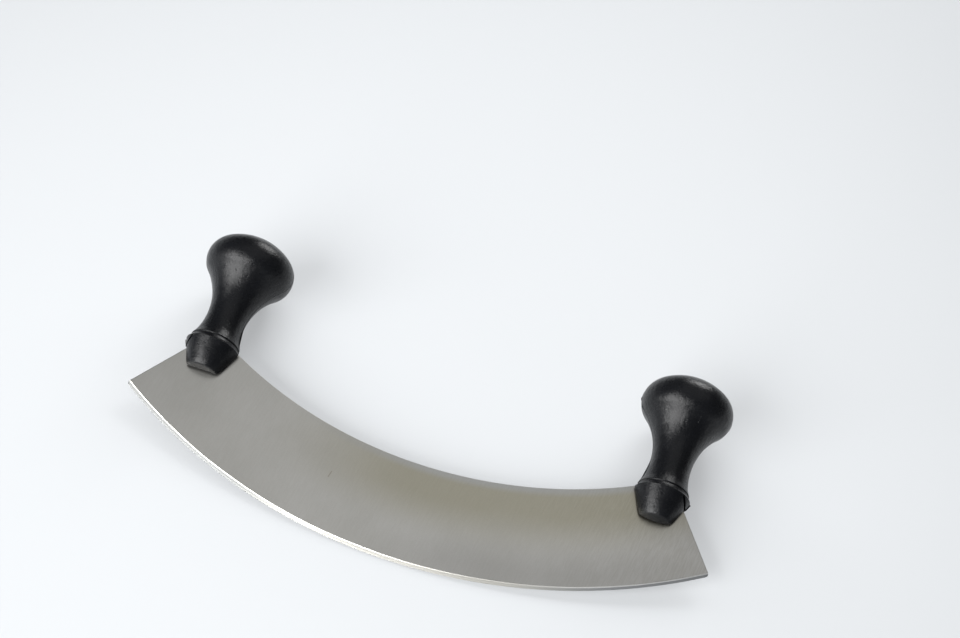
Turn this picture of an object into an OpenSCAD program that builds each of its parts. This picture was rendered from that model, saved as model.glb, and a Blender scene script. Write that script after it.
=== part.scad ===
// Two-handled rocking chopping knife (mezzaluna).
//
// One curved steel blade with two flat tangs, and a nylon knob moulded onto each tang.
// The knife lies on a table, on the undersides of its knobs and on the belly of its blade:
// X runs along the blade, Y from the cutting edge towards the knobs, Z up.
// Each piece is drawn upright in the plane of the blade, with the centre of the blade's
// arcs at the origin, and "lying" then lays it down.

/* [Blade] */
// Radius of the cutting edge
edge_r = 275; // [230:1:330]
// Width of the steel band, from its concave back to the cutting edge
blade_w = 50.6; // [42:0.2:61]
// Straight distance between the two lower tips, before they are rounded
blade_l = 295.8; // [247:0.2:356]
// Thickness of the steel
blade_t = 1.5; // [1.2:0.1:2.4]
// Lean of each cut end, away from the knife's own upright
end_lean = 36; // [30:1:43]
// Rounding of the two lower tips
tip_r = 1.8; // [0.5:0.1:4]

/* [Cutting edge] */
// Width of the ground bevel on each face
bevel_w = 1.7; // [1.4:0.1:4]
// Thickness of the steel where the bevel meets the honed facet
bevel_t = 0.55; // [0.3:0.05:0.7]
// Width of the honed facet on each face
facet_w = 0.6; // [0.3:0.1:1.2]
// Thickness left at the cutting edge itself
edge_t = 0.16; // [0.05:0.01:0.25]

/* [Tangs] */
// Distance of each handle's axis from its end of the blade
handle_inset = 31.9; // [27:0.1:39]
// Width of each tang
tang_w = 12; // [10:0.5:14]
// Length of each tang, from the rim of the collar up into the knob
tang_l = 44; // [36:1:53]
// Radius of each hole that the nylon fills to lock the tang
lock_r = 2.25; // [1.5:0.25:2.75]
// Distance between the two holes in a tang
lock_pitch = 16; // [13:1:20]

/* [Handle] */
// Height of the whole handle, from the end of its collar to the top of its knob
handle_h = 77.3; // [70:0.1:93]
// Largest radius of the knob
knob_r = 23; // [19:0.5:28]
// Height of the knob's widest ring
knob_h = 61.9; // [58:0.1:74]
// Radius of the knob's round side, in section
knob_side_r = 11.1; // [9.2:0.1:12]
// Radius of the flat spot on top of the knob, where the nylon was fed in
gate_r = 1.6; // [1:0.1:3]
// Smallest radius of the neck
neck_r = 10; // [9:0.1:12]
// Radius of the neck's hollow curve, in section
neck_curve_r = 36; // [30:1:43]

/* [Collar] */
// Radius of the collar at its rim
rim_r = 14; // [12:0.1:17]
// Radius of the collar's flat end
collar_end_r = 7.8; // [6.5:0.1:9.4]
// Length of the collar, from its flat end to its rim
collar_h = 13.4; // [11:0.1:16]
// How far the rim's inner corner laps onto the blade's concave back
rim_lap = 0.6; // [0.3:0.1:3]
// Height of the blunted corner round the collar's flat end
blunt_h = 2.4; // [1:0.1:3.5]
// How far the blunted corner widens the collar
blunt_w = 1.7; // [0.8:0.1:2.4]
// Height of the sloping shoulder above the rim
shoulder_h = 3.7; // [3:0.1:4.5]
// Depth of the fine groove where the shoulder meets the neck
groove_d = 0.3; // [0.1:0.05:0.5]

/* [Hidden] */
$fn = 180;
margin = 5;                     // overshoot of every cutting shape
arc_step = 4;                   // turn between points along a curve of the handle, in degrees
tip_step = 12;                  // the same on the small rounding of a tip
tip_lap = 0.03;                 // how far that rounding runs out past the cutting edge

steel_colour = [0.66, 0.65, 0.62];
nylon_colour = [0.07, 0.07, 0.075];

// Blade
back_r = edge_r - blade_w;                         // concave back of the band
face_r = edge_r - facet_w - bevel_w;               // where the flat face ends
bevel_r = edge_r - facet_w;                        // where the bevel meets the facet
tip = [blade_l / 2, -sqrt(pow(edge_r, 2) - pow(blade_l / 2, 2))];
end_up = [-sin(end_lean), cos(end_lean)];          // along the right end, upwards
end_in = [-cos(end_lean), -sin(end_lean)];         // from the right end into the steel

// Handle seat: the inner corner of each rim laps a little onto the blade's concave back
handle_x = blade_l / 2 - handle_inset;
rim_y = -sqrt(pow(back_r, 2) - pow(handle_x - rim_r, 2)) - rim_lap;
collar_y = rim_y - collar_h;

// Handle section: radius along X, height above the collar's end along Y
groove_h = collar_h + shoulder_h;
side_c = [knob_r - knob_side_r, knob_h];           // centre of the knob's round side
dome_side = handle_h - knob_side_r;
dome_h = (pow(dome_side, 2) - pow(side_c[0], 2) - pow(knob_h, 2)) / (2 * (dome_side - knob_h));
dome_r = handle_h - dome_h;                        // top dome, centred on the axis at dome_h
neck_c = [neck_r + neck_curve_r,
          knob_h - sqrt(pow(neck_curve_r + knob_side_r, 2)
                        - pow(neck_r + neck_curve_r - side_c[0], 2))];
neck_turn = direction(neck_c - side_c);            // where the neck's curve meets the knob's side
dome_turn = direction(side_c - [0, dome_h]);       // where the knob's side meets the dome
shoulder_r = neck_c[0] - sqrt(pow(neck_curve_r, 2) - pow(neck_c[1] - groove_h, 2));

// Lying down: a table under the knobs' widest rings and the lowest line of the blade, or the rims
ring = dome_h > knob_h ? [0, collar_y + dome_h, dome_r]        // distance from the handle's axis,
                       : [side_c[0], collar_y + knob_h, knob_side_r];  // place along it, radius
lie = min([for (p = [[face_r, blade_t / 2], [bevel_r, bevel_t / 2], [edge_r, edge_t / 2],
                     [-rim_y, rim_r]]) lie_on(p)]);
lift = ring[2] + ring[0] * cos(lie) - ring[1] * sin(lie);
front_y = -edge_r * cos(lie) - edge_t / 2 * sin(lie);
back_y = (collar_y + dome_h) * cos(lie) + dome_r;

function unit(v) = v / norm(v);
function direction(v) = atan2(v[1], v[0]);

// Points along an arc about c, from one angle to another
function arc(c, r, from, to, step = arc_step) =
    let (steps = ceil(abs(to - from) / step))
    [for (i = [0:steps]) let (a = from + (to - from) * i / steps) c + r * [cos(a), sin(a)]];

// Tilt of the blade when the table touches it p[0] out from the arcs' centre, p[1] below mid-plane
function lie_on(p) =
    let (along = ring[1] + p[0], down = ring[0] - p[1])
    atan2(down, along) + asin(ring[2] / norm([along, down]));

// Moves a piece from the blade's own plane to its place on the table
module lying() {
    translate([0, -(front_y + back_y) / 2, lift]) rotate([lie, 0, 0]) children();
}

module both_sides() {
    for (side = [0, 1]) mirror([side, 0, 0]) children();
}

// Outline between the two cut ends, with rounded tips: it runs outside the cutting edge
module blade_outline() {
    start = tip + tip_r * end_in;
    run = start * end_up;
    reach = edge_r + tip_lap - tip_r;
    centre = start + (-run - sqrt(run * run - start * start + reach * reach)) * end_up;
    right_side = concat([tip + blade_w * end_up],
                        arc(centre, tip_r, direction(-end_in), direction(centre), tip_step),
                        [centre * (edge_r + margin) / norm(centre)]);
    low = [[0, -2 * edge_r]];
    left_side = [for (i = [len(right_side) - 1:-1:0]) [-right_side[i][0], right_side[i][1]]];
    polygon(concat(right_side, low, left_side));
}

// The whole ring of steel that the blade is a stretch of, with its ground edge
module ground_ring() {
    rotate_extrude() polygon([
        [back_r, -blade_t / 2], [face_r, -blade_t / 2], [bevel_r, -bevel_t / 2], [edge_r, -edge_t / 2],
        [edge_r, edge_t / 2], [bevel_r, bevel_t / 2], [face_r, blade_t / 2], [back_r, blade_t / 2]]);
}

// Flat tang of the right handle, with the holes that the nylon fills
module tang() {
    linear_extrude(blade_t, center = true) difference() {
        union() {
            translate([handle_x - tang_w / 2, rim_y]) square([tang_w, tang_l - tang_w / 2]);
            translate([handle_x, rim_y + tang_l - tang_w / 2]) circle(tang_w / 2);
        }
        for (i = [0, 1])
            translate([handle_x, rim_y + tang_l - tang_w / 2 - i * lock_pitch]) circle(lock_r);
    }
}

// Blade and tangs, one plate of steel
module steel() {
    intersection() {
        ground_ring();
        linear_extrude(2 * blade_t, center = true) blade_outline();
    }
    both_sides() tang();
}

// Half of the handle's section, from the flat end of the collar up to the top of the knob
module handle_section() {
    groove = [[shoulder_r, groove_h - groove_d], [shoulder_r - groove_d, groove_h]];
    neck_start = 180 + asin((neck_c[1] - groove_h - groove_d) / neck_curve_r);
    polygon(concat(
        [[0, 0], [collar_end_r, 0], [collar_end_r + blunt_w, blunt_h], [rim_r, collar_h]],
        groove,
        arc(neck_c, neck_curve_r, neck_start, neck_turn + 180),
        arc(side_c, knob_side_r, neck_turn + arc_step, dome_turn),
        arc([0, dome_h], dome_r, dome_turn + arc_step, acos(gate_r / dome_r)),
        [[0, dome_h + sqrt(pow(dome_r, 2) - pow(gate_r, 2))]]));
}

// Right handle: a turned shape, filled with nylon round the steel
module moulded_handle() {
    difference() {
        translate([handle_x, collar_y, 0]) rotate([-90, 0, 0]) rotate_extrude() handle_section();
        steel();
    }
}

module blade() {
    color(steel_colour) lying() steel();
}

module handle_left() {
    color(nylon_colour) lying() mirror([1, 0, 0]) moulded_handle();
}

module handle_right() {
    color(nylon_colour) lying() moulded_handle();
}

blade();
handle_left();
handle_right();
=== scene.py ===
"""Visual model of a two-handled rocking chopping knife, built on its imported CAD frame.

The blade and the two handles are detailed meshes that stand for the CAD nodes. Each is made
upright in the plane of the blade, in millimetres: the origin is the centre of the blade's arcs,
x runs along the blade, y from the cutting edge towards the knobs, z is normal to the blade.
"lying" then puts it where the CAD has it, in metres.
"""
import math

import bpy
from mathutils import Matrix, Vector, noise


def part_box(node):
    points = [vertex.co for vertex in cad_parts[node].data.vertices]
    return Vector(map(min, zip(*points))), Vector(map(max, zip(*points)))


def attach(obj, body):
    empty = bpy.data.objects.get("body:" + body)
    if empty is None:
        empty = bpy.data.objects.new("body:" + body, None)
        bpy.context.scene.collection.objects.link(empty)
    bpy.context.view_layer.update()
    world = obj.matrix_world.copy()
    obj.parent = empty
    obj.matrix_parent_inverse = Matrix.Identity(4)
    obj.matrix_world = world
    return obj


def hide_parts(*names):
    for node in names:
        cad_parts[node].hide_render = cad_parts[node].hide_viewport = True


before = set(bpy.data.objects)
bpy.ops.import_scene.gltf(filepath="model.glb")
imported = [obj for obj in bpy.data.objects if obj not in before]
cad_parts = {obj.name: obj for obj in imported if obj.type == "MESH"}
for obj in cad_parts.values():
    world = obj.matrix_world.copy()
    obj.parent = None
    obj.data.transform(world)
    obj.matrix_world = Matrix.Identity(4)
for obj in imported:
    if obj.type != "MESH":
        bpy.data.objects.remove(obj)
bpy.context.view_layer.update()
MM = 0.001

# Blade, in millimetres, as in the CAD
EDGE_R = 275.0
BLADE_W = 50.6
BLADE_L = 295.8
BLADE_T = 1.5
END_LEAN = 36.0
TIP_R = 1.8
BEVEL_W, BEVEL_T = 1.7, 0.55
FACET_W, EDGE_T = 0.6, 0.16
BACK_R = EDGE_R - BLADE_W
FACE_R = EDGE_R - FACET_W - BEVEL_W
BEVEL_R = EDGE_R - FACET_W
# Blade, finer than the CAD
BREAK, END_BREAK = 0.25, 0.45  # rounding of the blade's long back corner, and of its cut ends
KEEN_W, KEEN_T = 0.5, 0.53  # steep band where the bevel starts, and half the steel it leaves
NARROWING, RIGHT_NARROWING = 0.45, 0.15  # what the ground bevel loses in width, and loses more to the right
NARROWS = (0.02, 0.37)  # turn, in radians, over which it narrows to the right
WAVER = 0.16  # how far the start of the bevel wavers, as hand grinding does

# Handle, in millimetres, as in the CAD
HANDLE_X = BLADE_L / 2 - 31.9
HANDLE_H = 77.3
KNOB_R, KNOB_H, KNOB_SIDE_R = 23.0, 61.9, 11.1
GATE_R = 1.6
NECK_R, NECK_CURVE_R = 10.0, 36.0
RIM_R, COLLAR_END_R, COLLAR_H, RIM_LAP = 14.0, 7.8, 13.4, 0.6
BLUNT_H, BLUNT_W = 2.4, 1.7
RIM_Y = -math.sqrt(BACK_R**2 - (HANDLE_X - RIM_R) ** 2) - RIM_LAP
COLLAR_Y = RIM_Y - COLLAR_H
# Handle, finer than the CAD or apart from it
GROOVE_H = COLLAR_H + 2.7  # the groove is 1 mm lower than in the CAD
FOOT_OUT, FOOT_UP = 0.23, 0.3  # lip of the neck's foot, out from the groove and above it
FLARE_H, FLARE_CURVE, FLARE_STEPS = 3.6, 1.12, 6  # the neck's small flare above the groove
RIGHT_BULGE = 1.3  # of the right collar's end; the left one is trimmed flat
GATE_DROP, GATE_RISE = 0.12, 0.05  # ring sunk round the mould gate on top of the knob, and its middle
SLIT, SLIT_DEPTH = 1.5, 1.6  # shadow gap between the collar's skin and the steel's faces
SLIT_END = 1.0  # the same past the steel's back and its cut end
CREASE_W, CREASE_DEPTH = 1.2, 1.3  # witness line of the mould on each collar
FLASH_W = 0.34  # half width of the moulding flash
# Burrs on the inner parting line of the right knob: rise, height up the handle, and reach
BURRS = ((0.35, 60.5, 1.4), (0.25, 56.0, 1.2))


# ---------------------------------------------------------------- placing

def lie_on(reach, drop):
    """Tilt of the blade when the table touches it `reach` out from the arcs' centre."""
    along, down = COLLAR_Y + KNOB_H + reach, KNOB_R - KNOB_SIDE_R - drop
    return math.atan2(down, along) + math.asin(KNOB_SIDE_R / math.hypot(along, down))


def lying():
    """From the upright blade frame, in millimetres, to the row frame, in metres."""
    lie = min(lie_on(FACE_R, BLADE_T / 2), lie_on(BEVEL_R, BEVEL_T / 2), lie_on(EDGE_R, EDGE_T / 2))
    low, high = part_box("blade")[0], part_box("handle_right")[1]
    front = -EDGE_R * math.cos(lie) - EDGE_T / 2 * math.sin(lie)
    lift = KNOB_SIDE_R + (KNOB_R - KNOB_SIDE_R) * math.cos(lie) - (COLLAR_Y + KNOB_H) * math.sin(lie)
    place = Matrix.Translation((0, low.y - front * MM, lift * MM))
    return place @ Matrix.Rotation(lie, 4, "X") @ Matrix.Scale(MM, 4)


LYING = lying()


def new_object(name, points, faces, smooth=True):
    mesh = bpy.data.meshes.new(name)
    mesh.from_pydata([LYING @ Vector(p) for p in points], [], faces)
    mesh.validate()
    mesh.polygons.foreach_set("use_smooth", [smooth] * len(mesh.polygons))
    mesh.update()
    piece = bpy.data.objects.new(name, mesh)
    bpy.context.collection.objects.link(piece)
    return piece


# ---------------------------------------------------------------- blade

def keen_width(face_r):
    """Width of the steep band, which narrows with the bevel."""
    return KEEN_W * (BEVEL_R - face_r) / BEVEL_W


def half_thickness(r, face_r):
    """Half the steel's thickness at a radius: flat face, bevel in two bands, honed facet."""
    keen_r = face_r + keen_width(face_r)
    if r <= face_r:
        return BLADE_T / 2
    if r <= keen_r:
        return BLADE_T / 2 - (BLADE_T / 2 - KEEN_T) * (r - face_r) / (keen_r - face_r)
    if r <= BEVEL_R:
        return KEEN_T - (KEEN_T - BEVEL_T / 2) * (r - keen_r) / (BEVEL_R - keen_r)
    return BEVEL_T / 2 - (BEVEL_T - EDGE_T) / 2 * (r - BEVEL_R) / FACET_W


def ease(x):
    """Smooth step from 0 at 0 to 1 at 1."""
    x = min(max(x, 0.0), 1.0)
    return x * x * (3 - 2 * x)


def face_radius(turn):
    """Where the flat face ends: the bevel narrows to the right and wavers as hand grinding does."""
    waver = WAVER * noise.noise((turn * 9.0, 0.3, 0.0))
    to_right = ease((turn - NARROWS[0]) / (NARROWS[1] - NARROWS[0]))
    return FACE_R + NARROWING + RIGHT_NARROWING * to_right + waver


def end_turn(r):
    """Angle from the middle of the blade to its cut end, at a radius, with the rounded tip."""
    lean = math.radians(END_LEAN)
    tip = Vector((BLADE_L / 2, -math.sqrt(EDGE_R**2 - (BLADE_L / 2) ** 2)))
    up, inward = Vector((-math.sin(lean), math.cos(lean))), Vector((-math.cos(lean), -math.sin(lean)))
    start = tip + TIP_R * inward
    run, reach = start.dot(up), EDGE_R - TIP_R
    centre = start + (-run - math.sqrt(run * run - start.length_squared + reach * reach)) * up
    touch = centre - TIP_R * inward
    if r > touch.length:
        d = centre.length
        cosine = (r * r + d * d - TIP_R * TIP_R) / (2 * r * d)
        return math.atan2(centre.x, -centre.y) + math.acos(min(1.0, cosine))
    run = tip.dot(up)
    p = tip + (-run - math.sqrt(max(run * run - tip.length_squared + r * r, 0.0))) * up
    return math.atan2(p.x, -p.y)


def quarter(steps=3):
    """Angles of a rounded corner, in radians."""
    return [math.radians(90 * i / steps) for i in range(steps + 1)]


def blade_rows(turn):
    """(radius, half thickness) down one face, from the back's corner to the cutting edge."""
    face_r = face_radius(turn)
    rows = [(BACK_R + BREAK * (1 - math.cos(a)), BLADE_T / 2 - BREAK * (1 - math.sin(a)))
            for a in quarter()]
    inner, flat = BACK_R + BREAK, 12
    rows += [(inner + (FACE_R - 1.2 - inner) * i / flat, BLADE_T / 2) for i in range(1, flat + 1)]
    rows.append((face_r, BLADE_T / 2))
    keen = keen_width(face_r)
    for r in (face_r + keen / 3, face_r + keen * 2 / 3, face_r + keen, (face_r + keen + BEVEL_R) / 2):
        rows.append((r, half_thickness(r, face_r)))
    for i in range(6):
        r = BEVEL_R + FACET_W * i / 5
        rows.append((r, half_thickness(r, face_r)))
    return rows


def blade_columns():
    """(share of the half length, inset from the cut end, drop of the corner's rounding)."""
    half = 110
    inner = [(i / half, 0.0, 0.0) for i in range(1 - half, half)]
    ends = [(END_BREAK * (1 - math.sin(a)), END_BREAK * (1 - math.cos(a))) for a in quarter()]
    left = [(-1.0, inset, drop) for inset, drop in reversed(ends)]
    right = [(1.0, inset, drop) for inset, drop in ends]
    return left + inner + right


def blade_points(columns):
    """One loop of points round the blade's section for each column."""
    points = []
    for share, inset, drop in columns:
        rows = blade_rows(share * end_turn(FACE_R))
        loop = [(r, h, 1) for r, h in rows] + [(r, h, -1) for r, h in reversed(rows)]
        for r, h, side in loop:
            turn = share * (end_turn(r) - inset / r)
            z = side * (h - min(drop, 0.6 * h))
            points.append((r * math.sin(turn), -r * math.cos(turn), z))
    return points


def blade_mesh():
    columns = blade_columns()
    points, faces = blade_points(columns), []
    n = len(points) // len(columns)
    for c in range(len(columns) - 1):
        for i in range(n):
            a, b = c * n + i, c * n + (i + 1) % n
            faces.append((a, b, b + n, a + n))
    last = (len(columns) - 1) * n
    for i in range(n // 2 - 1):
        j = n - 1 - i
        faces.append((j, j - 1, i + 1, i))
        faces.append((last + i, last + i + 1, last + j - 1, last + j))
    return points, faces


def make_blade():
    points, faces = blade_mesh()
    blade = new_object("blade_steel", points, faces)
    sharpen(blade, 9)
    return blade


def sharpen(piece, degrees):
    """Smooth shading, but creased where two faces meet at more than this angle."""
    mesh = piece.data
    limit = math.radians(degrees)
    normals = [p.normal.copy() for p in mesh.polygons]
    owners = {}
    for p in mesh.polygons:
        for key in p.edge_keys:
            owners.setdefault(key, []).append(p.index)
    for edge in mesh.edges:
        pair = owners.get(edge.key, [])
        if len(pair) == 2:
            edge.use_edge_sharp = normals[pair[0]].angle(normals[pair[1]], 0.0) > limit


# ---------------------------------------------------------------- handles

def arc(cx, cy, r, start, end, step=3.0):
    steps = max(1, math.ceil(abs(end - start) / step))
    for i in range(steps + 1):
        a = math.radians(start + (end - start) * i / steps)
        yield (cx + r * math.cos(a), cy + r * math.sin(a))


def rounded(corners):
    """Outline through (x, y, radius) corners, each rounded by its radius."""
    out = [corners[0][:2]]
    for before, at, after in zip(corners, corners[1:], corners[2:]):
        p, q, s = Vector(before[:2]), Vector(at[:2]), Vector(after[:2])
        if at[2] == 0:
            out.append(tuple(q))
            continue
        a, b = (p - q).normalized(), (s - q).normalized()
        half = a.angle(b) / 2
        cut = at[2] / math.tan(half)
        centre = q + (a + b).normalized() * (at[2] / math.sin(half))
        start = math.degrees(math.atan2(*(q + a * cut - centre).yx))
        turn = math.degrees(math.atan2(*(q + b * cut - centre).yx)) - start
        turn = (turn + 180) % 360 - 180
        out.extend(arc(centre.x, centre.y, at[2], start, start + turn, 12.0))
    out.append(corners[-1][:2])
    return out


def neck_centre():
    """Centre of the neck's hollow arc, which meets the side of the knob without a corner."""
    neck_x = NECK_R + NECK_CURVE_R
    reach = NECK_CURVE_R + KNOB_SIDE_R
    return neck_x, KNOB_H - math.sqrt(reach**2 - (neck_x - (KNOB_R - KNOB_SIDE_R)) ** 2)


def neck_radius(height):
    neck_x, neck_y = neck_centre()
    return neck_x - math.sqrt(NECK_CURVE_R**2 - (neck_y - height) ** 2)


def flare_profile():
    """The neck's foot, from its lip over the groove to the neck's own arc."""
    lip, top = neck_radius(GROOVE_H) + FOOT_OUT, neck_radius(GROOVE_H + FLARE_H)
    shares = [i / FLARE_STEPS for i in range(1, FLARE_STEPS)]
    return [(top + (lip - top) * (1 - share) ** FLARE_CURVE, GROOVE_H + FOOT_UP + (FLARE_H - FOOT_UP) * share)
            for share in shares]


def collar_profile(bulge):
    """(radius, height) from the middle of the collar's end up past its rim and shoulder to the flare."""
    end = [(0.0, -bulge, 0), (0.55 * COLLAR_END_R, -0.75 * bulge, 6.0)] if bulge else [(0.0, 0.0, 0)]
    groove_r, flare = neck_radius(GROOVE_H), flare_profile()
    return rounded(end + [
        (COLLAR_END_R + 0.3, 0.0, 1.5), (COLLAR_END_R + BLUNT_W, BLUNT_H, 5.0),
        (RIM_R, COLLAR_H, 0.25), (RIM_R - 1.0, COLLAR_H + 1.0, 0.8),
        (RIM_R - 1.5, GROOVE_H - 0.35, 0.3), (groove_r - 0.35, GROOVE_H - 0.1, 0.12),
        (groove_r + FOOT_OUT, GROOVE_H + FOOT_UP, 0.3), flare[0] + (0,)]) + flare[1:]


def handle_profile(bulge):
    """(radius, height) from the middle of the collar's end to the top of the knob."""
    side_x = KNOB_R - KNOB_SIDE_R
    dome_side = HANDLE_H - KNOB_SIDE_R
    dome_h = (dome_side**2 - side_x**2 - KNOB_H**2) / (2 * (dome_side - KNOB_H))
    dome_r = HANDLE_H - dome_h
    neck_x, neck_y = neck_centre()
    neck_start = 180 + math.degrees(math.asin((neck_y - GROOVE_H - FLARE_H) / NECK_CURVE_R))
    neck_turn = math.degrees(math.atan2(neck_y - KNOB_H, neck_x - side_x))
    dome_turn = math.degrees(math.atan2(KNOB_H - dome_h, side_x))
    gate_turn = math.degrees(math.acos(GATE_R / dome_r))
    neck = list(arc(neck_x, neck_y, NECK_CURVE_R, neck_start, neck_turn + 180, 1.5))
    side = list(arc(side_x, KNOB_H, KNOB_SIDE_R, neck_turn, dome_turn))
    dome = list(arc(0.0, dome_h, dome_r, dome_turn, gate_turn, 2.0))
    top_h = dome[-1][1]
    gate = [(GATE_R, top_h - GATE_DROP), (GATE_R * 0.55, top_h - GATE_DROP),
            (GATE_R * 0.45, top_h + GATE_RISE), (0.0, top_h + GATE_RISE)]
    return collar_profile(bulge) + neck + side[1:] + dome[1:] + gate


def ring_turns():
    """Angles of the columns round a handle: even, with closer ones at the two parting lines."""
    even = [360 * i / 96 for i in range(96)]
    close = [0.6, 1.2, 2.0, 2.8]
    extra = [s * d + mid for mid in (0, 180) for d in close for s in (-1, 1)]
    return sorted({round(a % 360, 4) for a in even + extra})


def hump(x, middle, reach):
    """Smooth hump of height 1 at the middle, down to 0 at the reach."""
    return ease(1 - abs(x - middle) / reach)


def flash(side, turn, radius, height):
    """Height of the moulding flash on the two parting lines, at an angle and a height."""
    inner, outer = abs(turn % 360 - 180), abs((turn + 180) % 360 - 180)
    if inner < outer:
        burrs = sum(rise * hump(height, middle, reach) for rise, middle, reach in BURRS) if side > 0 else 0.0
        top = 0.14 + burrs + 0.45 * hump(height, 23.0, 9.0)
    else:
        rough = 0.2 * ease((noise.noise((height * 0.6, 4.1, 0.0)) - 0.1) / 0.3) if side < 0 else 0.0
        top = 0.12 + rough * hump(height, 8.0, 12.0) + 0.45 * hump(height, COLLAR_H, 2.2)
    away = math.radians(min(inner, outer)) * radius / FLASH_W
    return top * max(0.0, 1 - away)


def handle_mesh(side):
    """Points and faces of one handle: side is 1 for the right one, -1 for the left."""
    profile, turns = handle_profile(RIGHT_BULGE if side > 0 else 0.0), ring_turns()
    points, faces = [], []
    for radius, height in profile[1:-1]:
        for turn in turns:
            ridge = flash(side, turn, radius, height) if radius > 3 else 0.0
            r = radius + ridge * ease((height - 2) / 3)
            a = math.radians(turn)
            points.append((side * (HANDLE_X + r * math.cos(a)), COLLAR_Y + height, r * math.sin(a)))
    n, rings = len(turns), len(profile) - 2
    for k in range(rings - 1):
        for i in range(n):
            a, b = k * n + i, k * n + (i + 1) % n
            quad = (a, a + n, b + n, b)
            faces.append(quad if side > 0 else quad[::-1])
    bottom, top = len(points), len(points) + 1
    points.append((side * HANDLE_X, COLLAR_Y + profile[0][1], 0.0))
    points.append((side * HANDLE_X, COLLAR_Y + profile[-1][1], 0.0))
    for i in range(n):
        j, last = (i + 1) % n, (rings - 1) * n
        low, high = (bottom, i, j), (last + j, last + i, top)
        faces += [low, high] if side > 0 else [low[::-1], high[::-1]]
    return points, faces


def carve(piece, cutter):
    """Cut the cutter out of the piece, then drop the cutter."""
    cut = piece.modifiers.new("cut", "BOOLEAN")
    cut.operation, cut.solver, cut.object = "DIFFERENCE", "EXACT", cutter
    shaped = bpy.data.meshes.new_from_object(piece.evaluated_get(bpy.context.evaluated_depsgraph_get()))
    shaped.name = piece.name
    piece.modifiers.clear()
    piece.data = shaped
    bpy.data.objects.remove(cutter)


def prism(name, outline, half):
    """Solid on a flat outline that runs anticlockwise, the same height to each side of the blade."""
    n = len(outline)
    points = [(x, y, -half) for x, y in outline] + [(x, y, half) for x, y in outline]
    faces = [tuple(reversed(range(n))), tuple(range(n, 2 * n))]
    faces += [(i, (i + 1) % n, n + (i + 1) % n, n + i) for i in range(n)]
    return new_object(name, points, faces, False)


def turned(name, side, profile, steps=72):
    """Solid of revolution round a handle's axis, from (radius, height) points going up."""
    points = [(side * HANDLE_X, COLLAR_Y + height, 0.0) for height in (profile[0][1], profile[-1][1])]
    for radius, height in profile:
        for i in range(steps):
            a = 2 * math.pi * i / steps
            points.append((side * HANDLE_X + radius * math.cos(a), COLLAR_Y + height, radius * math.sin(a)))
    faces, top = [], 2 + (len(profile) - 1) * steps
    for i in range(steps):
        j = (i + 1) % steps
        faces += [(0, 2 + i, 2 + j), (1, top + j, top + i)]
        for k in range(len(profile) - 1):
            a, b = 2 + k * steps + i, 2 + k * steps + j
            faces.append((a, a + steps, b + steps, b))
    return new_object(name, points, faces, False)


def cut_end():
    """The back corner of the blade's right cut end, the way up along that end, and the way out of it."""
    turn = end_turn(BACK_R)
    lean = math.radians(END_LEAN)
    at = Vector((BACK_R * math.sin(turn), -BACK_R * math.cos(turn)))
    return at, Vector((-math.sin(lean), math.cos(lean))), Vector((math.cos(lean), math.sin(lean)))


def mirrored(outline, side):
    return outline if side > 0 else [(-x, y) for x, y in reversed(outline)]


def slit_cutter(side):
    """The steel that a collar clasps, grown by the slit, less what lies deeper than the slit goes."""
    at, up, out = cut_end()
    last, back, steps = end_turn(BACK_R), BACK_R - SLIT_END, 12
    first = math.asin((HANDLE_X - 1.3 * RIM_R) / BACK_R)
    turns = [last + (first - last) * i / steps for i in range(steps + 1)]
    hollow = [(back * math.sin(t), -back * math.cos(t)) for t in turns]
    corner = at + SLIT_END * out
    foot = corner - 40 * up
    outline = [tuple(foot), tuple(corner)] + hollow + [(hollow[-1][0], foot.y - 10)]
    plate = prism("slit", mirrored(outline, side), BLADE_T / 2 + SLIT)
    deep = SLIT_DEPTH
    carve(plate, turned("core", side, [
        (COLLAR_END_R - deep, deep), (COLLAR_END_R + BLUNT_W - deep, BLUNT_H + 0.4),
        (RIM_R - deep, COLLAR_H - 0.1), (RIM_R - deep, 60)]))
    return plate


def crease_cutter(side):
    """Thin plate in line with the blade's cut end, less what lies deeper than the crease goes."""
    at, up, out = cut_end()
    start, end = at - 30 * up, at + 30 * up
    wide = CREASE_W / 2 * out
    outline = [tuple(start - wide), tuple(start + wide), tuple(end + wide), tuple(end - wide)]
    plate = prism("crease", mirrored(outline, side), 20)
    deep, clear_r = CREASE_DEPTH, RIM_R + 9
    carve(plate, turned("core", side, [
        (COLLAR_END_R - deep, deep - 3), (COLLAR_END_R - deep, deep),
        (COLLAR_END_R + BLUNT_W - deep, BLUNT_H), (RIM_R - deep, COLLAR_H - 0.1),
        (clear_r, COLLAR_H + 0.3), (clear_r, 60)]))
    return plate


def make_handle(name, side):
    points, faces = handle_mesh(side)
    handle = new_object(name, points, faces)
    carve(handle, slit_cutter(side))
    carve(handle, crease_cutter(side))
    for face in handle.data.polygons:
        face.use_smooth = True
    sharpen(handle, 30)
    return handle


# ---------------------------------------------------------------- shader nodes

WHITE = (1.0, 1.0, 1.0)


def new_material(name):
    material = bpy.data.materials.new(name)
    material.use_nodes = True
    tree = material.node_tree
    return material, tree, tree.nodes["Principled BSDF"]


def wire(tree, value, socket):
    """Feed a socket from another one, or set it to a number or a colour."""
    if isinstance(value, bpy.types.NodeSocket):
        tree.links.new(value, socket)
    elif isinstance(value, tuple):
        socket.default_value = (*value, 1.0)
    else:
        socket.default_value = value


def node(tree, kind, **values):
    """A node with its settings, which start with a small letter, and its inputs, with a capital."""
    made = tree.nodes.new(kind)
    for key, value in values.items():
        if key[0].isupper():
            made.inputs[key.replace("_", " ")].default_value = value
        else:
            setattr(made, key, value)
    return made


def math_node(tree, operation, *values):
    made = node(tree, "ShaderNodeMath", operation=operation)
    for socket, value in zip(made.inputs, values):
        wire(tree, value, socket)
    return made.outputs[0]


def plus(tree, a, b):
    return math_node(tree, "ADD", a, b)


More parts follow.
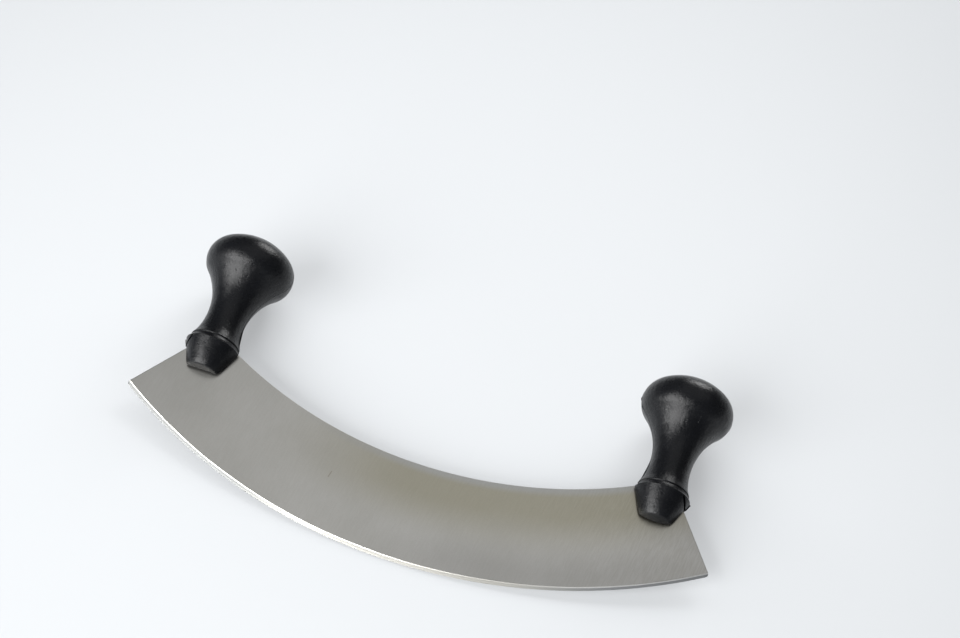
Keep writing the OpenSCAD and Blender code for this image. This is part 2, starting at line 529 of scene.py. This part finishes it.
def minus(tree, a, b):
    return math_node(tree, "SUBTRACT", a, b)


def times(tree, a, b):
    return math_node(tree, "MULTIPLY", a, b)


def vector_node(tree, operation, vector, output, other=(0.0, 0.0, 0.0)):
    made = node(tree, "ShaderNodeVectorMath", operation=operation)
    tree.links.new(vector, made.inputs[0])
    made.inputs[1].default_value = other
    return made.outputs[output]


def split_xy(tree, vector):
    split = node(tree, "ShaderNodeSeparateXYZ")
    tree.links.new(vector, split.inputs[0])
    return split.outputs["X"], split.outputs["Y"]


def combine(tree, x, y):
    made = node(tree, "ShaderNodeCombineXYZ")
    wire(tree, x, made.inputs["X"])
    wire(tree, y, made.inputs["Y"])
    return made.outputs[0]


def placed(tree, vector, **values):
    """The position moved, turned and scaled by a mapping node."""
    mapping = node(tree, "ShaderNodeMapping", vector_type="POINT", **values)
    tree.links.new(vector, mapping.inputs["Vector"])
    return mapping.outputs["Vector"]


def object_position(tree):
    return node(tree, "ShaderNodeTexCoord").outputs["Object"]


def blade_position(tree):
    """Position in the blade's own upright frame, in millimetres."""
    place = LYING.inverted()
    return placed(tree, object_position(tree), Location=place.to_translation(),
                  Rotation=place.to_euler(), Scale=(1 / MM,) * 3)


def polar(tree, vector):
    """(length round the arc, radius), in millimetres, about the centre of the blade's arcs."""
    x, y = split_xy(tree, vector)
    turn = math_node(tree, "ARCTAN2", x, times(tree, y, -1.0))
    radius = math_node(tree, "SQRT", plus(tree, times(tree, x, x), times(tree, y, y)))
    return times(tree, turn, EDGE_R), radius


def turned_about(tree, vector, degrees):
    """The x and y of a position, in axes turned anticlockwise by an angle."""
    c, s = math.cos(math.radians(degrees)), math.sin(math.radians(degrees))
    x, y = split_xy(tree, vector)
    across = plus(tree, times(tree, x, c), times(tree, y, s))
    along = minus(tree, times(tree, y, c), times(tree, x, s))
    return across, along


def noise_of(tree, vector, scale, detail=3.0, rough=0.5):
    made = node(tree, "ShaderNodeTexNoise", Scale=scale, Detail=detail, Roughness=rough)
    tree.links.new(vector, made.inputs["Vector"])
    return made.outputs["Fac"]


def ramp(tree, factor, low, high):
    """Colour from low, where the factor is 0.3, to high, where it is 0.7."""
    made = node(tree, "ShaderNodeValToRGB")
    for element, (position, colour) in zip(made.color_ramp.elements, ((0.3, low), (0.7, high))):
        element.position = position
        element.color = (*colour, 1.0)
    tree.links.new(factor, made.inputs["Fac"])
    return made.outputs["Color"]


def mapped(tree, value, before, after, kind="LINEAR"):
    """A value mapped from one pair of limits to another, and held at them."""
    made = node(tree, "ShaderNodeMapRange", interpolation_type=kind, From_Min=before[0],
                From_Max=before[1], To_Min=after[0], To_Max=after[1])
    tree.links.new(value, made.inputs["Value"])
    return made.outputs["Result"]


def scaled(tree, factor, low, high):
    return mapped(tree, factor, (0.0, 1.0), (low, high))


def eased(tree, value, start, end):
    """Smooth step from 0 at the start to 1 at the end; the start may be the higher one."""
    ends = (0.0, 1.0) if start < end else (1.0, 0.0)
    return mapped(tree, value, sorted((start, end)), ends, "SMOOTHSTEP")


def mixed(tree, factor, low, high, blend="MIX"):
    """Colour between two colours; any of the three may be a socket."""
    made = node(tree, "ShaderNodeMix", data_type="RGBA", blend_type=blend)
    colour_a, colour_b, colour_out = made.inputs[6], made.inputs[7], made.outputs[2]
    for socket, value in ((made.inputs[0], factor), (colour_a, low), (colour_b, high)):
        wire(tree, value, socket)
    return colour_out


def tinted(tree, colour, factor, tint, start=WHITE):
    """The colour times a tint where the factor is 1, and times the start where it is 0."""
    return mixed(tree, 1.0, colour, mixed(tree, factor, start, tint), "MULTIPLY")


def stroke(tree, where, start, end, width):
    """1 on a short line between two points, in millimetres, falling to 0 at its width."""
    start, end = Vector(start), Vector(end)
    away = vector_node(tree, "SUBTRACT", where, "Vector", (start + end) / 2)
    along = vector_node(tree, "DOT_PRODUCT", away, "Value", (end - start).normalized())
    length = vector_node(tree, "LENGTH", away, "Value")
    over = math_node(tree, "MAXIMUM", minus(
        tree, math_node(tree, "ABSOLUTE", along), (end - start).length / 2), 0.0)
    beside = math_node(tree, "MAXIMUM", minus(
        tree, times(tree, length, length), times(tree, along, along)), 0.0)
    distance = math_node(tree, "SQRT", plus(tree, beside, times(tree, over, over)))
    return eased(tree, distance, width, 0.0)


def add_bump(tree, shader, height, strength, distance):
    bump = node(tree, "ShaderNodeBump", Strength=strength, Distance=distance)
    tree.links.new(height, bump.inputs["Height"])
    tree.links.new(bump.outputs["Normal"], shader.inputs["Normal"])


# ---------------------------------------------------------------- materials

GREY_STEEL = (0.560, 0.551, 0.519), (0.606, 0.597, 0.567)
WARM_STEEL = (0.462, 0.440, 0.359)  # a band nearer the back than the edge
COOL_STRIP = (0.495, 0.495, 0.478)  # along the hollow back
STREAK = (0.87, 0.86, 0.84)
DARKER_TONE = (0.84, 0.84, 0.85)  # near the edge in the right half, and at the right end
SPECKLE = (0.95, 0.95, 0.95), (1.05, 1.05, 1.05)
GRIND_LEAN = 8.5  # degrees by which the grinding lines lean to the right of square
GRINDS = (4.5, 0.10, 4.0), (1.25, 0.13, 2.0)  # two grits: lines across and along, in a mm, and detail
BEVEL_STEEL = (0.56, 0.55, 0.51)
LEFT_BEVEL = (0.31, 0.315, 0.31)  # at the left end, past the keen line
RIGHT_BEVEL_PAINTED_GLINT_AND_SHADE = (0.95, 0.95, 0.93), (0.38, 0.39, 0.40)  # at the right end: a pale upper half paints a highlight line, a dark lower half paints a shade line
KEEN_END = FACE_R + 0.75, FACE_R + 0.95  # radii between which the bevel's bright keen line ends
# radii where the right end's painted highlight line gives way to its painted shade line
BEVEL_MIDDLE = FACE_R + 1.0, FACE_R + 1.3
STEEL_ROUGHNESS, BEVEL_ROUGHER = (0.26, 0.38), 0.13

BLACK_NYLON = (0.0036, 0.0040, 0.0050), (0.0054, 0.0058, 0.0070)
SCUFF = (0.030, 0.030, 0.031)
NYLON_ROUGHNESS, END_ROUGHER = (0.22, 0.35), 0.28  # the flat end of a collar is rougher

# Small blemishes, in the blade frame: start, end and width in millimetres
FLECK = ((-37.8, -245.2, 0.75), (-37.2, -242.2, 0.75), 0.45)
FLECK_COLOUR = (0.22, 0.15, 0.09)
MOULD_MARKS = (
    ((107.7, -167.6, 11.5), (109.2, -169.9, 11.2), 0.4),
    ((109.2, -169.9, 11.2), (109.3, -171.6, 10.4), 0.4),
    ((121.9, -164.2, 15.3), (122.5, -161.8, 17.0), 0.25),
    ((118.4, -165.3, 15.1), (119.3, -161.4, 17.4), 0.2),
    ((-118.0, -162.8, 17.2), (-116.2, -165.6, 15.7), 0.25),
    ((-116.2, -165.6, 15.7), (-113.7, -168.5, 13.6), 0.3),
)


def grind_lines(tree, where):
    """Straight lines of the grinding belt, which ran almost square across the whole blank."""
    across, along = turned_about(tree, where, -GRIND_LEAN)
    parts = []
    for fine, length, detail in GRINDS:
        grain = combine(tree, times(tree, across, fine), times(tree, along, length))
        parts.append(times(tree, noise_of(tree, grain, 1.0, detail, 0.6), 0.5))
    return plus(tree, *parts)


def face_colour(tree, where, along, radius, lines):
    """Grey steel, browner towards the back, streaked by the grinding and darker to the right."""
    clouds = noise_of(tree, combine(tree, along, radius), 0.03)
    to_right = eased(tree, along, -95.0, 10.0)
    near_back = times(tree, eased(tree, radius, BACK_R + 36, BACK_R + 11), to_right)
    warm = times(tree, near_back, scaled(tree, clouds, 0.85, 1.2))
    colour = mixed(tree, warm, ramp(tree, clouds, *GREY_STEEL), WARM_STEEL)
    strip = times(tree, eased(tree, radius, BACK_R + 5, BACK_R + 1), to_right)
    colour = mixed(tree, strip, colour, COOL_STRIP)
    marked = scaled(tree, eased(tree, along, 60.0, 150.0), 0.3, 0.9)
    colour = tinted(tree, colour, times(tree, eased(tree, lines, 0.62, 0.38), marked), STREAK)
    # darker near the edge in the right half, and at the right end
    near_edge = eased(tree, radius, EDGE_R - 26, EDGE_R - 6)
    right_half = times(tree, near_edge, eased(tree, along, -30.0, 50.0))
    darker_mask = math_node(tree, "MAXIMUM", right_half, eased(tree, along, 118.0, 158.0))
    colour = tinted(tree, colour, darker_mask, DARKER_TONE)
    return tinted(tree, colour, noise_of(tree, where, 1.6, 2.0), SPECKLE[1], SPECKLE[0])


def bevel_colour(tree, along, radius):
    """Pale freshly ground steel, darker past the keen line to the left; at the right end a painted highlight
    line over a painted shade line.
    """
    left = times(tree, eased(tree, radius, *KEEN_END), eased(tree, along, -35.0, -85.0))
    colour = mixed(tree, left, BEVEL_STEEL, LEFT_BEVEL)
    # painted highlight and painted shade: the right end's bevel is pale in its upper half and dark in its
    # lower half
    painted_glint_and_shade = mixed(tree, eased(tree, radius, *BEVEL_MIDDLE), *RIGHT_BEVEL_PAINTED_GLINT_AND_SHADE)
    return mixed(tree, eased(tree, along, 50.0, 115.0), colour, painted_glint_and_shade)


def ground_band(tree, along, radius):
    """1 on the ground bevel, which is narrower to the right, and 0 on the face."""
    to_right = eased(tree, along, NARROWS[0] * EDGE_R, NARROWS[1] * EDGE_R)
    start = FACE_R + NARROWING
    return eased(tree, minus(tree, radius, times(tree, to_right, RIGHT_NARROWING)), start - 0.05, start + 0.1)


def steel_material():
    """Belt-ground stainless steel, with a paler and rougher bevel and one small fleck."""
    material, tree, shader = new_material("ground_steel")
    where = blade_position(tree)
    along, radius = polar(tree, where)
    lines, ground = grind_lines(tree, where), ground_band(tree, along, radius)
    face = face_colour(tree, where, along, radius, lines)
    colour = mixed(tree, ground, face, bevel_colour(tree, along, radius))
    fleck = times(tree, stroke(tree, where, *FLECK), 0.45)
    wire(tree, mixed(tree, fleck, colour, FLECK_COLOUR), shader.inputs["Base Color"])
    rough = plus(tree, scaled(tree, lines, *STEEL_ROUGHNESS), times(tree, ground, BEVEL_ROUGHER))
    wire(tree, rough, shader.inputs["Roughness"])
    shader.inputs["Metallic"].default_value = 1.0
    add_bump(tree, shader, lines, 0.2, 0.02 * MM)
    return material


def nylon_relief(tree, where, grain, waves):
    """Height of the moulding's skin: grain, slow waves and flow lines, with a few marks cut in."""
    stretched = placed(tree, where, Scale=(1.0, 0.22, 1.0), Rotation=(0.0, 0.0, 0.35))
    flow = noise_of(tree, stretched, 0.55, 3.0, 0.55)
    slow = plus(tree, times(tree, waves, 7.0), times(tree, flow, 2.6))
    marks = 0.0
    for mark in MOULD_MARKS:
        marks = math_node(tree, "MAXIMUM", stroke(tree, where, *mark), marks)
    return minus(tree, plus(tree, times(tree, grain, 2.2), slow), times(tree, marks, 3.0))


def nylon_material():
    """Near-black moulded nylon: satin, with a fine grain, pale scuffs and slow flow waves."""
    material, tree, shader = new_material("black_nylon")
    where = blade_position(tree)
    grain, waves = noise_of(tree, where, 0.85, 4.0, 0.75), noise_of(tree, where, 0.11, 2.0)
    scuffs = eased(tree, noise_of(tree, where, 0.9, 6.0, 0.75), 0.56, 0.74)
    colour = mixed(tree, times(tree, scuffs, 0.5), ramp(tree, waves, *BLACK_NYLON), SCUFF)
    wire(tree, colour, shader.inputs["Base Color"])
    on_end = eased(tree, split_xy(tree, where)[1], COLLAR_Y + 0.5, COLLAR_Y + 0.2)
    rough = plus(tree, scaled(tree, grain, *NYLON_ROUGHNESS), times(tree, on_end, END_ROUGHER))
    wire(tree, rough, shader.inputs["Roughness"])
    shader.inputs["Specular IOR Level"].default_value = 0.23
    add_bump(tree, shader, nylon_relief(tree, where, grain, waves), 0.6, 0.1 * MM)
    return material


def table_material():
    """Pale matt floor with painted light: it glows near the object and less away from it, as an overlit sweep
    does.
    """
    material, tree, shader = new_material("pale_table")
    wire(tree, TABLE_COLOUR, shader.inputs["Base Color"])
    wire(tree, TABLE_GLOW_COLOUR, shader.inputs["Emission Color"])
    shader.inputs["Roughness"].default_value = 0.9
    shader.inputs["Specular IOR Level"].default_value = 0.1
    away = vector_node(tree, "LENGTH", object_position(tree), "Value")
    glow = mapped(tree, away, GLOW_FADES, (TABLE_GLOW, FAR_GLOW), "SMOOTHSTEP")
    wire(tree, glow, shader.inputs["Emission Strength"])
    return material


# ---------------------------------------------------------------- stage

CAMERA_AT = Vector((0.0832, -0.4317, 0.6444))
CAMERA_AIM = Vector((0.0, 0.0862, 0.0))
CAMERA_ROLL = 10.7
CAMERA_LENS = 59.1
TABLE_COLOUR, TABLE_GLOW_COLOUR = (0.305, 0.315, 0.325), (0.96, 0.98, 1.0)
TABLE_GLOW, FAR_GLOW = 0.35, 0.02  # painted light of the floor: near the object, and away from it
GLOW_FADES = (0.1, 0.86)  # metres from the origin between which the glow fades
TABLE_HALF = 6.0
LIGHT_AWAY = 1.5  # metres from the origin to a soft light
ROOM_COLOUR, ROOM_GLOW = (0.93, 0.97, 1.0, 1), 0.11


def make_camera():
    data = bpy.data.cameras.new("camera")
    data.lens, data.sensor_width = CAMERA_LENS, 36.0
    camera = bpy.data.objects.new("camera", data)
    camera.location = CAMERA_AT
    turn = (CAMERA_AIM - CAMERA_AT).to_track_quat("-Z", "Y").to_matrix().to_4x4()
    camera.rotation_euler = (turn @ Matrix.Rotation(math.radians(CAMERA_ROLL), 4, "Z")).to_euler()
    bpy.context.collection.objects.link(camera)
    bpy.context.scene.camera = camera


def softbox(name, azimuth, elevation, size, glow, away=LIGHT_AWAY):
    """A flat soft light facing the origin, at a place given in degrees: glow is its face's brightness."""
    turn, rise = math.radians(azimuth), math.radians(elevation)
    level = math.cos(rise)
    at = away * Vector((level * math.cos(turn), level * math.sin(turn), math.sin(rise)))
    data = bpy.data.lights.new(name, "AREA")
    data.shape, data.size, data.size_y = "RECTANGLE", size[0], size[1]
    data.energy = math.pi * size[0] * size[1] * glow
    light = bpy.data.objects.new(name, data)
    light.location = at
    light.rotation_euler = (-at).to_track_quat("-Z", "Y").to_euler()
    bpy.context.collection.objects.link(light)
    return light


def light_only(light, piece):
    """Let this light fall on one object only; the others still shade it."""
    lit = bpy.data.collections.new(light.name + "_lights")
    lit.objects.link(piece)
    light.light_linking.receiver_collection = lit


def make_table():
    half = TABLE_HALF
    corners = [(-half, -half, 0), (half, -half, 0), (half, half, 0), (-half, half, 0)]
    mesh = bpy.data.meshes.new("table")
    mesh.from_pydata(corners, [], [(0, 1, 2, 3)])
    table = bpy.data.objects.new("table", mesh)
    mesh.materials.append(table_material())
    bpy.context.collection.objects.link(table)
    return table


def make_room():
    world = bpy.data.worlds.new("room")
    world.use_nodes = True
    background = world.node_tree.nodes["Background"]
    background.inputs["Color"].default_value = ROOM_COLOUR
    background.inputs["Strength"].default_value = ROOM_GLOW
    bpy.context.scene.world = world


def make_stage():
    table = make_table()
    make_room()
    softbox("key", 234, 28, (1.4, 1.1), 10.2)
    softbox("window", 79, 24, (0.6, 0.6), 10.5)
    softbox("overhead", 60, 80, (1.7, 1.5), 0.50)
    light_only(softbox("sweep", 100, 24, (9.0, 2.2), 4.2, away=3.0), table)


def main():
    bpy.context.scene.view_settings.view_transform = "Standard"
    make_camera()
    make_stage()
    steel, nylon = steel_material(), nylon_material()
    blade = make_blade()
    blade.data.materials.append(steel)
    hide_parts("blade")
    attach(blade, "root")
    for name, side, stands_for in (("handle_left_moulding", -1, "handle_left"),
                                   ("handle_right_moulding", 1, "handle_right")):
        handle = make_handle(name, side)
        handle.data.materials.append(nylon)
        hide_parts(stands_for)
        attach(handle, "root")


main()
